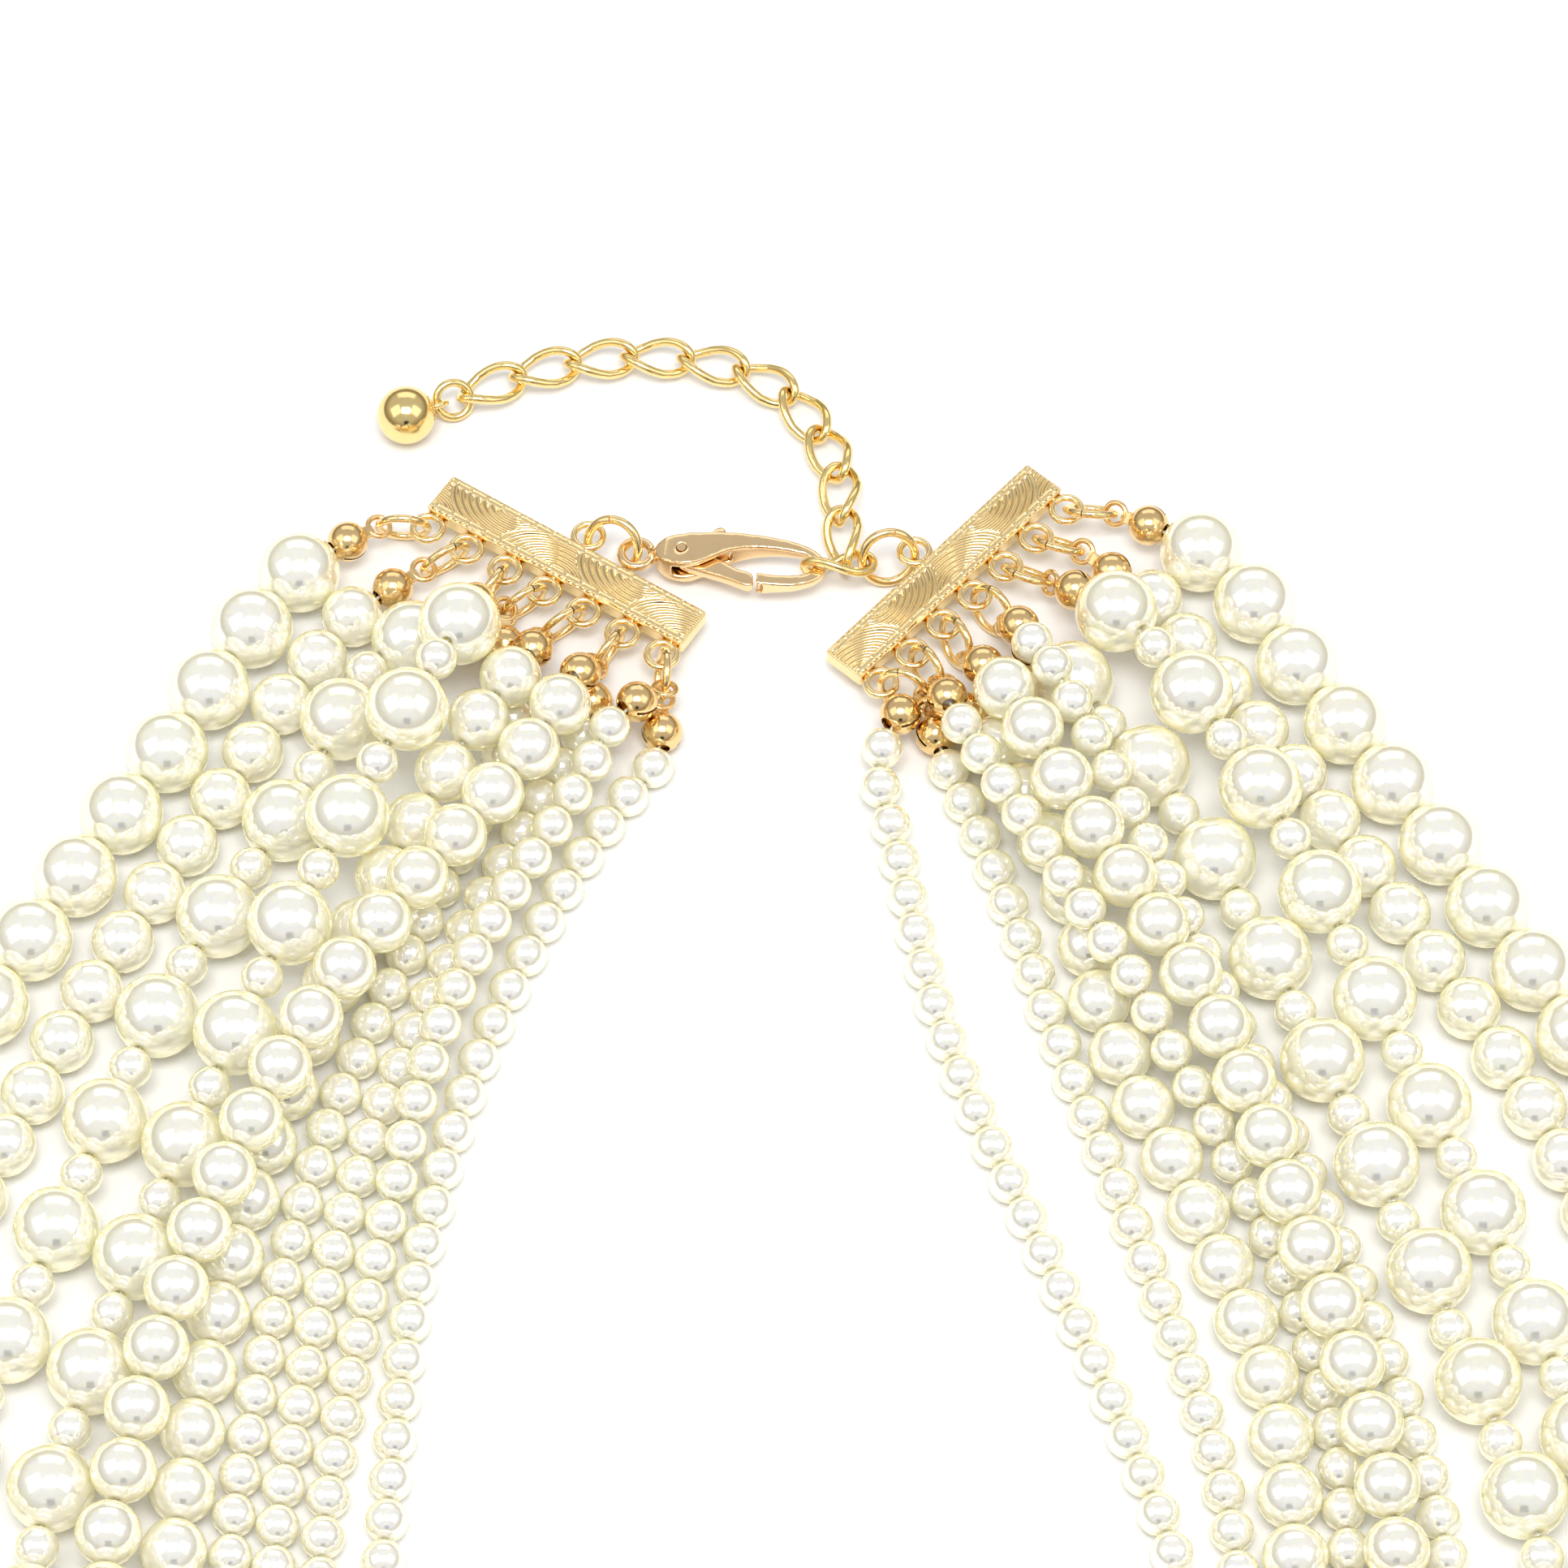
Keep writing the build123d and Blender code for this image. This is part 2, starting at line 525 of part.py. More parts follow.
def thread_solid(points):
    """Round thread through the bead centres with a knot inside each end cup."""
    p = np.vstack([2 * points[0] - points[1], points, 2 * points[-1] - points[-2]])
    sections = []
    for k in range(1, len(p) - 1):
        for s in (0.0, 1 / 3, 2 / 3):
            if k == len(p) - 2 and s > 0:
                continue
            q = p[k + 2] if k + 2 < len(p) else p[k + 1]
            a, b, c, d = p[k - 1], p[k], p[k + 1], q
            spot = 0.5 * (2 * b + (c - a) * s + (2 * a - 5 * b + 4 * c - d) * s ** 2
                          + (3 * b - a - 3 * c + d) * s ** 3)
            slope = (c - a) + 2 * (2 * a - 5 * b + 4 * c - d) * s + 3 * (3 * b - a - 3 * c + d) * s ** 2
            sections.append(Plane(origin=tuple(spot), x_dir=tuple(np.cross(UP, slope)), z_dir=tuple(slope))
                            * Circle(THREAD_D / 2))
    thread = loft(sections, ruled=True)
    for end in (points[0], points[-1]):
        thread = thread + Pos(*end) * Sphere(KNOT_R)
    return thread


def cup_template():
    """Clamshell cup: ball centre at the origin, hanging eye at +X, thread hole at -X, seam in the XY plane."""
    ball = Sphere(CUP_R)
    ball = ball - Sphere(CUP_R - CUP_WALL)
    ball = ball - Pos(-CUP_R, 0, 0) * Rot(0, 90, 0) * Cylinder(CUP_HOLE_D / 2, 2 * CUP_R - CUP_WALL)
    ball = ball - Pos(SEAM_SHIFT, 0, 0) * Box(SEAM_LENGTH, 2 * CUP_R + 1, SEAM_GAP)
    tongue = fillet(Box(*TONGUE).edges().filter_by(Axis.X), TONGUE_EDGE_R)
    tongue = Pos(CUP_R + 0.3 * TONGUE[0], 0, 0) * tongue
    eye = Pos(CUP_REACH, 0, 0) * Torus(EYE_R, EYE_WIRE_R)
    return ball + tongue + eye


def ring_solid(bar, number, table):
    _, centre, away, steep = ring_frame(bar, number, table)
    normal = np.cross(away, steep)
    ring = Torus(RING_R, RING_WIRE_R, major_angle=360 - RING_SPLIT)
    return place_at(centre, normal, steep) * Rot(0, 0, 20) * ring


def bar_solid(bar):
    """Flat bar with seven loops on one edge and a single loop on the other."""
    centre, along, out = bar_axes(bar)
    body = Box(BAR_LENGTH, BAR_WIDTH, BAR_THICK)
    body = fillet(body.edges().filter_by(Axis.Z), BAR_CORNER_R)
    body = fillet(body.faces().sort_by(Axis.Z)[-1].edges(), BAR_EDGE_R)
    stem = Rot(90, 0, 0) * Cylinder(STEM_R, STEM_LENGTH)
    loop = Torus(LOOP_R, LOOP_WIRE_R)
    side = bar[3]
    for n in range(1, 8):
        x = (n - 4) * LOOP_PITCH
        body = body + Pos(x, -side * LOOP_REACH, 0) * loop + Pos(x, -side * BAR_WIDTH / 2, 0) * stem
    body = body + Pos(0, side * HANG_REACH, 0) * loop + Pos(0, side * BAR_WIDTH / 2, 0) * stem
    return place_at(centre, UP, along) * body


# ---------------------------------------------------------------- chain links
def link_point(t, start_roll, end_roll):
    x = LINK_A * math.cos(t)
    roll = math.radians(start_roll + (end_roll - start_roll) * (x + LINK_A) / (2 * LINK_A))
    wide = LINK_B * math.sin(t)
    return Vector(x, wide * math.cos(roll), wide * math.sin(roll))


def link_template(start_roll, end_roll):
    """Oval link along X whose plane turns from start_roll at -X to end_roll at +X."""
    halves = []
    for begin in (math.pi / 2, -math.pi / 2):
        turns = [begin + math.pi * k / 12 for k in range(13)]
        h = 1e-4
        ends = []
        for t in (turns[0], turns[-1]):
            ends.append((link_point(t + h, start_roll, end_roll)
                         - link_point(t - h, start_roll, end_roll)).normalized())
        path = Spline(*[link_point(t, start_roll, end_roll) for t in turns], tangents=ends)
        halves.append(sweep(Plane(origin=path @ 0, z_dir=path % 0) * Circle(LINK_WIRE_R), path=path))
    return halves[0] + halves[1]


def chain_places():
    """Centre, axis and rolls of the hooked link and then of every tail link; also the last joint point."""
    places = [(np.array(HOOK_LINK), heading(HOOK_HEADING), 90, 180)]
    spot = np.array(TAIL_START)
    for angle, slope, start_roll, pitch in TAIL:
        rise = math.radians(slope)
        axis = heading(angle) * math.cos(rise) + UP * math.sin(rise)
        places.append((spot + axis * pitch / 2, axis, start_roll, start_roll + 90))
        spot = spot + axis * pitch
    return places, spot


def link_location(centre, axis):
    side = unit(np.cross(UP, axis))
    return Plane(origin=tuple(centre), x_dir=tuple(axis), z_dir=tuple(np.cross(axis, side))).location


def clasp_body():
    outer = Spline(*CLASP_OUTER)
    inner = Spline(*CLASP_INNER)
    under = Spline(*CLASP_UNDER)
    tip = Line(CLASP_OUTER[-1], CLASP_INNER[0])
    plan = extrude(make_face([outer, tip, inner, under]), BLANK)
    depth = CLASP_DEPTH + [(x, -z) for x, z in reversed(CLASP_DEPTH)]
    side = extrude(make_face(Plane.XZ * Polyline(*depth, close=True)), BLANK, both=True)
    body = (Pos(0, 0, -BLANK / 2) * plan) & side
    eye = Torus(CLASP_EYE_R, CLASP_EYE_WIRE_R)
    neck = Pos(*CLASP_NECK) * Rot(0, 90, 0) * Cylinder(NECK_R, NECK_LENGTH)
    body = body + neck + eye
    slot = Pos(0, 0, -CLASP_SLOT / 2) * extrude(make_face(Polyline(*SLOT_OUTLINE, close=True)), CLASP_SLOT)
    body = body - slot
    px, py = CLASP_PIVOT
    return body - Pos(px, py, 0) * Cylinder(PIN_R + PIN_HOLD, BLANK)


def clasp_lever():
    lever = extrude(make_face(Spline(*LEVER_OUTLINE, periodic=True)), LEVER_THICK)
    lever = Pos(0, 0, -LEVER_THICK / 2) * lever
    lever = lever + Pos(*KNOB) * Sphere(KNOB_R)
    px, py = CLASP_PIVOT
    lever = lever - Pos(px, py, 0) * Cylinder(PIN_R + PIN_RUN, BLANK)
    return lever - Pos(px, py, 0) * Torus(SPRING_R, SPRING_WIRE_R + SPRING_ROOM)


def clasp_pin():
    px, py = CLASP_PIVOT
    return Pos(px, py, 0) * Cylinder(PIN_R, PIN_LENGTH)


def end_ring(bar, ring, radius, wire):
    centre, _, out = bar_axes(bar)
    hole = centre - out * HANG_REACH
    away = heading(ring[0])
    lean = math.radians(ring[1])
    steep = UP * math.cos(lean) + np.cross(UP, away) * math.sin(lean)
    solid = Torus(radius, wire, major_angle=360 - RING_SPLIT)
    return place_at(hole + away * radius, np.cross(away, steep), steep) * Rot(0, 0, 20) * solid


def tail_end(spot):
    """Small ring and end ball at the loose end of the chain."""
    axis = heading(TAIL_RING_HEADING)
    centre = spot + axis * TAIL_RING_OFFSET
    side = np.cross(UP, axis)
    roll = math.radians(TAIL_RING_ROLL)
    flat = side * math.cos(roll) + UP * math.sin(roll)
    ring = place_at(centre, np.cross(axis, flat), axis) * Torus(TAIL_RING_R, TAIL_RING_WIRE_R)
    eye = centre + axis * TAIL_RING_R
    reach = BALL_R + BALL_EYE_R - BALL_EYE_WIRE_R / 3
    rise = math.asin((BALL_R - eye[2]) / reach)
    out = heading(BALL_HEADING) * math.cos(rise) + UP * math.sin(rise)
    across = unit(np.cross(UP, out))
    lift = unit(np.cross(out, across))
    wide = across * math.cos(roll) - lift * math.sin(roll)
    ball_eye = place_at(eye, np.cross(out, wide), out) * Torus(BALL_EYE_R, BALL_EYE_WIRE_R)
    ball = Pos(*(eye + out * reach)) * Sphere(BALL_R)
    return ring, ball + ball_eye


# ---------------------------------------------------------------- build everything
x, radius, slices = lay_out()

bead_templates = {d: bead_template(d) for d in BORE_D}
cup = cup_template()
cups = {"left": [], "right": []}
for name, (first, stop) in slices.items():
    centres = x[first + 2:stop - 2]
    run = x[first + 1:stop - 1]
    along = run[2:] - run[:-2]
    beads = []
    for centre, direction, r in zip(centres, along, radius[first + 2:stop - 2]):
        beads.append(place_at(centre, direction) * bead_templates[r * 2])
    save("pearls_" + name, beads)
    save("thread_" + name, [thread_solid(run)])
    strand = STRANDS[name]
    for side, bar, table, eye, ball in (("left", LEFT_BAR, LEFT_RINGS, first, first + 1),
                                        ("right", RIGHT_BAR, RIGHT_RINGS, stop - 1, stop - 2)):
        number, place = strand[side]
        _, wire = eye_on_ring(bar, number, table, place)
        axis = unit(x[eye] - x[ball])
        normal = unit(wire - axis * wire.dot(axis))
        cups[side].append(place_at(x[ball], normal, axis) * cup)
for side in cups:
    save(side + "_cups", cups[side])

save("left_bar", [bar_solid(LEFT_BAR)])
save("right_bar", [bar_solid(RIGHT_BAR)])
for number in range(1, 8):
    save("left_ring_" + str(number), [ring_solid(LEFT_BAR, number, LEFT_RINGS)])
    save("right_ring_" + str(number), [ring_solid(RIGHT_BAR, number, RIGHT_RINGS)])
save("left_end_ring", [end_ring(LEFT_BAR, LEFT_END_RING, END_RING_R, END_RING_WIRE_R)])
save("right_end_ring", [end_ring(RIGHT_BAR, RIGHT_END_RING, END_RING_R, END_RING_WIRE_R)])

clasp_place = Location((CLASP_TAIL[0], CLASP_TAIL[1], LINE_Z), (0, 0, CLASP_HEADING))
save("clasp_body", [clasp_place * clasp_body()])
save("clasp_lever", [clasp_place * clasp_lever()])
save("clasp_pin", [clasp_place * clasp_pin()])
spring = Pos(CLASP_PIVOT[0], CLASP_PIVOT[1], 0) * Torus(SPRING_R, SPRING_WIRE_R, major_angle=SPRING_SWEEP)
save("clasp_spring", [clasp_place * spring])

places, tail_spot = chain_places()
link_templates = {}
for k, (centre, axis, start_roll, end_roll) in enumerate(places):
    if start_roll not in link_templates:
        link_templates[start_roll] = link_template(start_roll, end_roll)
    node = "hook_link" if k == 0 else "tail_link_" + str(k)
    save(node, [link_location(centre, axis) * link_templates[start_roll]])
tail_ring, tail_ball = tail_end(tail_spot)
save("tail_ring", [tail_ring])
save("tail_ball", [tail_ball])
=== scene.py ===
import math
import random

import bmesh
import bpy
import numpy as np
from mathutils import Matrix, Vector


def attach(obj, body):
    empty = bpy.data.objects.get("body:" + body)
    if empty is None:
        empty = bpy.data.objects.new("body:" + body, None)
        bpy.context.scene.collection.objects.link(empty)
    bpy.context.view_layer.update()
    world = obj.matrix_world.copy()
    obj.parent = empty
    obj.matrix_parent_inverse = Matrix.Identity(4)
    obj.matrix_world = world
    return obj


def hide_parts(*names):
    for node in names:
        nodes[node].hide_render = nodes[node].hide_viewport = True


MM = 0.001

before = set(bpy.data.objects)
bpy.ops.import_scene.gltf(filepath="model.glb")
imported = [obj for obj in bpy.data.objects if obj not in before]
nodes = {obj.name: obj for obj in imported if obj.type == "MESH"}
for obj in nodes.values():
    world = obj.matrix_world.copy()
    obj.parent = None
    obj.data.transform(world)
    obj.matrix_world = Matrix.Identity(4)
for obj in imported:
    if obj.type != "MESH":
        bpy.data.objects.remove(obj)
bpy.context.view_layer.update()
rng = random.Random(7)

# ---------------------------------------------------------------- sizes, in metres
LIP_R = 0.10 * MM
BORE_SHARE = 0.13
PEARL_SEGMENTS = {4: 28, 6: 34, 8: 42}
PEARL_WOBBLE = 0.004
RELIEF_CELL = 0.055 * MM
RELIEF_MARGIN = 0.22 * MM
RELIEF_SINK = 0.06 * MM
FAN_PLACES = (-15.0 * MM, -7.5 * MM, 0.0, 7.5 * MM, 15.0 * MM)
FAN_STRETCH = 1.55
FAN_REACH = 4.6 * MM
FAN_PITCH = 0.52 * MM
RIDGE_INSET = 0.30 * MM
RIDGE_HALF = 0.13 * MM
DOT_PITCH = 1.9 * MM
CLASP_CELL = 0.10 * MM
CLASP_SMOOTHING = 40

# The table point in the middle of the view, and the camera's height angle and distance
AIM = Vector((2.8, -23.3, 0.0)) * MM
CAMERA_ELEVATION = math.radians(57)
CAMERA_DISTANCE = 650 * MM
SENSOR = 36.0
FOV = math.radians(13.25)


# ---------------------------------------------------------------- material helpers
class Graph:
    """A short way to add and link shader nodes in one material or world."""

    def __init__(self, owner):
        owner.use_nodes = True
        self.tree = owner.node_tree
        self.tree.nodes.clear()

    def add(self, kind, **settings):
        node = self.tree.nodes.new(kind)
        for key, value in settings.items():
            if hasattr(node, key):
                setattr(node, key, value)
            else:
                node.inputs[key.replace("_", " ")].default_value = value
        return node

    def link(self, source, output, target, name):
        self.tree.links.new(source.outputs[output], target.inputs[name])

    def noise(self, scale, detail=3.0, roughness=0.5, stretch=None):
        """Noise in object space; scale is in cycles per metre."""
        place = self.add("ShaderNodeTexCoord")
        texture = self.add("ShaderNodeTexNoise", Scale=scale, Detail=detail, Roughness=roughness)
        if stretch:
            mapping = self.add("ShaderNodeMapping", Scale=stretch)
            self.link(place, "Object", mapping, "Vector")
            self.link(mapping, "Vector", texture, "Vector")
        else:
            self.link(place, "Object", texture, "Vector")
        return texture

    def ramp(self, source, output, stops):
        ramp = self.add("ShaderNodeValToRGB")
        elements = ramp.color_ramp.elements
        for k, (position, colour) in enumerate(stops):
            element = elements[k] if k < 2 else elements.new(position)
            element.position = position
            element.color = (*colour, 1)
        self.link(source, output, ramp, "Fac")
        return ramp

    def spread(self, source, output, low, high):
        """Map 0..1 to low..high."""
        spread = self.add("ShaderNodeMapRange")
        spread.inputs["To Min"].default_value = low
        spread.inputs["To Max"].default_value = high
        self.link(source, output, spread, "Value")
        return spread


def pearl_material():
    material = bpy.data.materials.new("pearl_lustre")
    g = Graph(material)
    out = g.add("ShaderNodeOutputMaterial")
    skin = g.add("ShaderNodeBsdfPrincipled")
    # Painted light: the base colour runs from a near-white centre, a painted highlight, to a yellow rim, painted warm
    # light through the beads
    facing = g.add("ShaderNodeLayerWeight", Blend=0.38)
    tone = g.ramp(facing, "Facing", [(0.0, (1.0, 0.98, 0.93)), (1.0, (0.97, 0.86, 0.36)),
                                     (0.35, (1.0, 0.965, 0.84)), (0.70, (0.99, 0.91, 0.58))])
    island = g.add("ShaderNodeNewGeometry")
    tint = g.ramp(island, "Random Per Island", [(0.0, (1.0, 0.985, 0.94)), (1.0, (0.985, 1.0, 0.97)),
                                                (0.5, (1.0, 1.0, 1.0))])
    cloud = g.noise(420, 4, 0.6)
    swirl = g.ramp(cloud, "Fac", [(0.35, (0.975, 0.975, 0.95)), (0.65, (1.0, 1.0, 1.0))])
    mix = g.add("ShaderNodeMix", data_type="RGBA", blend_type="MULTIPLY")
    mix.inputs["Factor"].default_value = 1.0
    again = g.add("ShaderNodeMix", data_type="RGBA", blend_type="MULTIPLY")
    again.inputs["Factor"].default_value = 1.0
    g.tree.links.new(tone.outputs["Color"], mix.inputs[6])
    g.tree.links.new(tint.outputs["Color"], mix.inputs[7])
    g.tree.links.new(mix.outputs[2], again.inputs[6])
    g.tree.links.new(swirl.outputs["Color"], again.inputs[7])
    g.tree.links.new(again.outputs[2], skin.inputs["Base Color"])
    rough = g.spread(g.noise(900, 3), "Fac", 0.10, 0.15)
    g.link(rough, "Result", skin, "Roughness")
    skin.inputs["Metallic"].default_value = 0.52
    skin.inputs["Subsurface Weight"].default_value = 0.75
    skin.inputs["Subsurface Radius"].default_value = (1.0, 0.92, 0.40)
    skin.inputs["Subsurface Scale"].default_value = 2.2 * MM
    skin.inputs["IOR"].default_value = 1.6
    skin.inputs["Coat Weight"].default_value = 0.7
    skin.inputs["Coat Roughness"].default_value = 0.07
    skin.inputs["Coat IOR"].default_value = 1.7
    # Painted glow standing in for light carried through from neighbouring beads: a warm lift, strongest at the rim
    skin.inputs["Emission Color"].default_value = (1.0, 0.88, 0.42, 1)
    g.link(g.spread(facing, "Facing", 0.0, 0.17), "Result", skin, "Emission Strength")
    bump = g.add("ShaderNodeBump", Strength=0.05, Distance=0.02 * MM)
    g.link(g.noise(2600, 2), "Fac", bump, "Height")
    g.link(bump, "Normal", skin, "Normal")
    g.link(skin, "BSDF", out, "Surface")
    return material


def gold_material(name, colour, painted_corner_shade, rough_low, rough_high, dent):
    """Polished plating with painted shade, darker in corners, and with hairlines and soft dents."""
    material = bpy.data.materials.new(name)
    g = Graph(material)
    out = g.add("ShaderNodeOutputMaterial")
    metal = g.add("ShaderNodeBsdfPrincipled", Metallic=1.0)
    # Painted shade: ambient occlusion pulls the colour towards the second, darker colour in corners and recesses
    corner = g.add("ShaderNodeAmbientOcclusion", samples=6, Distance=0.35 * MM)
    shade = g.ramp(corner, "AO", [(0.35, painted_corner_shade), (0.95, colour)])
    patch = g.ramp(g.noise(350, 4, 0.6), "Fac", [(0.3, (0.95, 0.93, 0.90)), (0.7, (1.0, 1.0, 1.0))])
    mix = g.add("ShaderNodeMix", data_type="RGBA", blend_type="MULTIPLY")
    mix.inputs["Factor"].default_value = 1.0
    g.tree.links.new(shade.outputs["Color"], mix.inputs[6])
    g.tree.links.new(patch.outputs["Color"], mix.inputs[7])
    g.tree.links.new(mix.outputs[2], metal.inputs["Base Color"])
    g.link(g.spread(g.noise(1500, 5, 0.7), "Fac", rough_low, rough_high), "Result", metal, "Roughness")
    hairline = g.add("ShaderNodeBump", Strength=0.10, Distance=0.01 * MM)
    g.link(g.noise(4000, 2, 0.5, (1.0, 0.06, 1.0)), "Fac", hairline, "Height")
    dents = g.add("ShaderNodeBump", Strength=dent, Distance=0.12 * MM)
    g.link(g.noise(620, 2, 0.4), "Fac", dents, "Height")
    g.link(hairline, "Normal", dents, "Normal")
    g.link(dents, "Normal", metal, "Normal")
    g.link(metal, "BSDF", out, "Surface")
    return material


def thread_material():
    material = bpy.data.materials.new("beading_thread")
    g = Graph(material)
    out = g.add("ShaderNodeOutputMaterial")
    cord = g.add("ShaderNodeBsdfPrincipled", Roughness=0.8)
    cord.inputs["Sheen Weight"].default_value = 0.4
    fibre = g.noise(5000, 3, 0.6, (1.0, 0.3, 1.0))
    tone = g.ramp(fibre, "Fac", [(0.3, (0.80, 0.78, 0.66)), (0.7, (0.94, 0.93, 0.85))])
    g.link(tone, "Color", cord, "Base Color")
    bump = g.add("ShaderNodeBump", Strength=0.5, Distance=0.03 * MM)
    g.link(fibre, "Fac", bump, "Height")
    g.link(bump, "Normal", cord, "Normal")
    g.link(cord, "BSDF", out, "Surface")
    return material


def steel_material():
    material = bpy.data.materials.new("spring_wire")
    g = Graph(material)
    out = g.add("ShaderNodeOutputMaterial")
    wire = g.add("ShaderNodeBsdfPrincipled", Metallic=1.0)
    tone = g.ramp(g.noise(2500, 3), "Fac", [(0.3, (0.55, 0.55, 0.56)), (0.7, (0.78, 0.78, 0.79))])
    g.link(tone, "Color", wire, "Base Color")
    g.link(g.spread(g.noise(3000, 3), "Fac", 0.2, 0.4), "Result", wire, "Roughness")
    g.link(wire, "BSDF", out, "Surface")
    return material


def floor_material():
    material = bpy.data.materials.new("white_table")
    g = Graph(material)
    out = g.add("ShaderNodeOutputMaterial")
    board = g.add("ShaderNodeBsdfPrincipled", Roughness=0.55)
    tone = g.ramp(g.noise(60, 3), "Fac", [(0.3, (0.93, 0.93, 0.935)), (0.7, (0.945, 0.945, 0.945))])
    g.link(tone, "Color", board, "Base Color")
    g.link(board, "BSDF", out, "Surface")
    return material


# ---------------------------------------------------------------- pearls
def bead_places(node):
    """Centre, radius and bore axis of each bead in a CAD node, from its vertices and faces."""
    mesh = bmesh.new()
    mesh.from_mesh(node.data)
    bmesh.ops.remove_doubles(mesh, verts=mesh.verts, dist=1e-6)
    mesh.verts.ensure_lookup_table()
    seen = set()
    places = []
    for first in mesh.verts:
        if first in seen:
            continue
        stack = [first]
        seen.add(first)
        members = []
        while stack:
            vert = stack.pop()
            members.append(vert)
            for edge in vert.link_edges:
                other = edge.other_vert(vert)
                if other not in seen:
                    seen.add(other)
                    stack.append(other)
        co = np.array([v.co for v in members])
        middle = co.mean(0)
        local = co - middle
        equations = np.hstack([2 * local, np.ones((len(co), 1))])
        answer = np.linalg.lstsq(equations, (local ** 2).sum(1), rcond=None)[0]
        centre = answer[:3] + middle
        radius = float(np.sqrt(answer[3] + (answer[:3] ** 2).sum()))
        faces = {face for vert in members for face in vert.link_faces}
        inward = [np.array(f.normal) for f in faces
                  if np.dot(f.normal, np.array(f.calc_center_median()) - centre) < 0.3 * radius]
        axis = np.linalg.svd(np.array(inward))[2][-1]
        places.append((centre, radius, axis))
    mesh.free()
    return places


def pearl_profile(radius, stacks):
    """Half outline of a drilled bead in (distance from bore axis, height), mouth to mouth."""
    bore = radius * BORE_SHARE
    edge = math.asin((bore + LIP_R) / radius)
    points = [(bore, -radius * 0.55), (bore, -math.cos(edge) * radius + 1.4 * LIP_R),
              (bore + 0.3 * LIP_R, -math.cos(edge) * radius + 0.4 * LIP_R)]
    for k in range(stacks + 1):
        a = edge + (math.pi - 2 * edge) * k / stacks
        points.append((radius * math.sin(a), -radius * math.cos(a)))
    points += [(r, -z) for r, z in reversed(points[:3])]
    return points


def pearl_strand(name, node, material):
    """One mesh for all the pearls of a strand, each very slightly out of round."""
    verts = []
    faces = []
    for centre, radius, axis in bead_places(node):
        segments = PEARL_SEGMENTS[round(radius / MM * 2)]
        profile = pearl_profile(radius, segments // 2)
        turn = Vector(axis).to_track_quat("Z", "Y").to_matrix()
        phase = rng.uniform(0, 2 * math.pi)
        wobble = PEARL_WOBBLE * rng.uniform(0.4, 1.0)
        start = len(verts)
        for r, z in profile:
            for s in range(segments):
                a = 2 * math.pi * s / segments
                swell = 1 - wobble * (1 + math.cos(2 * a + phase)) / 2
                verts.append(turn @ Vector((r * swell * math.cos(a), r * swell * math.sin(a), z))
                             + Vector(centre))
        for row in range(len(profile)):
            below = start + row * segments
            above = start + ((row + 1) % len(profile)) * segments
            for s in range(segments):
                t = (s + 1) % segments
                faces.append((below + s, below + t, above + t, above + s))
    mesh = bpy.data.meshes.new(name)
    mesh.from_pydata([tuple(v) for v in verts], [], faces)
    mesh.materials.append(material)
    mesh.shade_smooth()
    mesh.validate()
    strand = bpy.data.objects.new(name, mesh)
    bpy.context.scene.collection.objects.link(strand)
    return strand


# ---------------------------------------------------------------- engraved faces of the bars
def relief_height(u, v, half_width):
    """Height above the bar's face at u along it and v across it: overlapping fans between ridged edges."""
    height = 0.0
    for k, place in enumerate(FAN_PLACES):
        edge = half_width if k % 2 else -half_width
        r = math.hypot((u - place) / FAN_STRETCH, v - edge)
        if r < FAN_REACH:
            wave = 0.5 + 0.5 * math.cos(2 * math.pi * r / FAN_PITCH)
            rim = 0.35 if r > FAN_REACH - FAN_PITCH else 0.0
            height = (0.02 + 0.20 * wave ** 1.4 + 0.05 * rim) * MM
    inset = half_width - abs(v)
    for k, middle in enumerate((RIDGE_INSET, RIDGE_INSET * 2.6)):
        off = abs(inset - middle) / RIDGE_HALF
        if off < 1:
            height = max(height, 0.19 * MM * math.sqrt(1 - off * off))
    gully = abs(inset - RIDGE_INSET * 1.8)
    if gully < RIDGE_HALF:
        along = abs((u / DOT_PITCH) % 1 - 0.5) * DOT_PITCH
        height = 0.08 * MM if along > 0.22 * MM else 0.17 * MM
    return height


